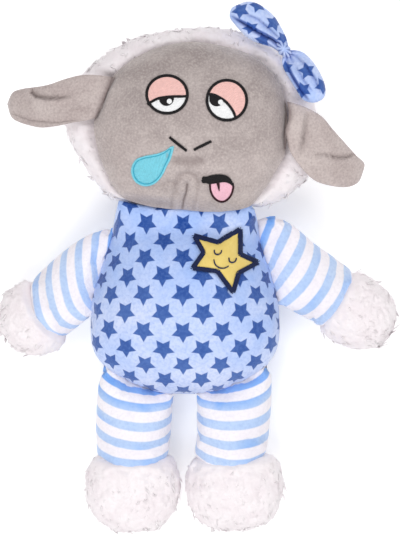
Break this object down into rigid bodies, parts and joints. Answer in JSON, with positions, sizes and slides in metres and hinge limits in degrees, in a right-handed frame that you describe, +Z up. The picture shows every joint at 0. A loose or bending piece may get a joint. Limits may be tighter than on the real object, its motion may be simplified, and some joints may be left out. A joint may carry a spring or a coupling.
{
  "type": "plush toy",
  "caption": "Soft plush sheep lying on its back, with a star-print body, striped sleeves and trouser legs, sherpa head and feet, floppy ears and a bow.",
  "frame": {"origin": "middle of the flat patch under the back, on the surface that the toy lies on", "axes": "+X towards the viewer's right across the body, +Y from the legs to the head, +Z up out of the belly"},
  "size_m": [0.2422, 0.3226, 0.0814],
  "materials": {
    "star_print_minky": "matte",
    "striped_minky": "matte",
    "grey_velboa": "matte",
    "white_sherpa": "matte",
    "polyester_filling": "matte",
    "black_thread": "satin",
    "eye_thread": "satin",
    "turquoise_thread": "satin",
    "pink_thread": "satin",
    "yellow_fabric": "matte",
    "navy_thread": "satin"
  },
  "bodies": {
    "torso": {"torso_front": "star_print_minky", "torso_back": "star_print_minky", "torso_stuffing": "polyester_filling", "star_patch": "yellow_fabric", "star_border": "navy_thread"},
    "head": {"face_panel": "grey_velboa", "head_back": "white_sherpa", "head_stuffing": "polyester_filling", "eye_left": "eye_thread", "eye_right": "eye_thread", "nose_left": "black_thread", "nose_right": "black_thread", "drop_patch": "turquoise_thread", "tongue": "pink_thread", "mouth": "black_thread", "bow_tie": "star_print_minky"},
    "ear_left": {"ear_left_front": "grey_velboa", "ear_left_back": "grey_velboa"},
    "ear_right": {"ear_right_front": "grey_velboa", "ear_right_back": "grey_velboa"},
    "bow_left": {"bow_left_loop": "star_print_minky"},
    "bow_right": {"bow_right_loop": "star_print_minky"},
    "arm_left": {"arm_left_sleeve": "striped_minky", "hand_left": "white_sherpa", "arm_left_stuffing": "polyester_filling"},
    "arm_right": {"arm_right_sleeve": "striped_minky", "hand_right": "white_sherpa", "arm_right_stuffing": "polyester_filling"},
    "leg_left": {"leg_left_sleeve": "striped_minky", "foot_left": "white_sherpa", "leg_left_stuffing": "polyester_filling"},
    "leg_right": {"leg_right_sleeve": "striped_minky", "foot_right": "white_sherpa", "leg_right_stuffing": "polyester_filling"}
  },
  "joints": [
    {"name": "neck_seam", "type": "hinge", "parent": "torso", "child": "head", "pos_m": [0.003, 0.055, 0.03], "axis": [1, 0, 0], "range_deg": [-25, 25]},
    {"name": "shoulder_left_seam", "type": "hinge", "parent": "torso", "child": "arm_left", "pos_m": [-0.05426, 0.01866, 0.03], "axis": [0.2605, 0.9655, 0], "range_deg": [-35, 70]},
    {"name": "shoulder_right_seam", "type": "hinge", "parent": "torso", "child": "arm_right", "pos_m": [0.05255, 0.02552, 0.03], "axis": [0.2543, -0.9671, 0], "range_deg": [-35, 70]},
    {"name": "hip_left_seam", "type": "hinge", "parent": "torso", "child": "leg_left", "pos_m": [-0.02929, -0.0593, 0.03], "axis": [-1, 0, 0], "range_deg": [-35, 70]},
    {"name": "hip_right_seam", "type": "hinge", "parent": "torso", "child": "leg_right", "pos_m": [0.03038, -0.05921, 0.03], "axis": [-1, 0, 0], "range_deg": [-35, 70]},
    {"name": "ear_left_seam", "type": "hinge", "parent": "head", "child": "ear_left", "pos_m": [-0.052, 0.1226, 0.0549], "axis": [0.4059, 0.9139, 0], "range_deg": [0, 110]},
    {"name": "ear_right_seam", "type": "hinge", "parent": "head", "child": "ear_right", "pos_m": [0.0636, 0.10539, 0.0549], "axis": [0.0306, -0.9995, 0], "range_deg": [0, 110]},
    {"name": "bow_left_pinch", "type": "hinge", "parent": "head", "child": "bow_left", "pos_m": [0.05704, 0.15101, 0.05093], "axis": [0.6947, 0.7193, 0], "range_deg": [0, 50]},
    {"name": "bow_right_pinch", "type": "hinge", "parent": "head", "child": "bow_right", "pos_m": [0.06453, 0.14247, 0.05093], "axis": [-0.8039, -0.5948, 0], "range_deg": [0, 50]}
  ]
}
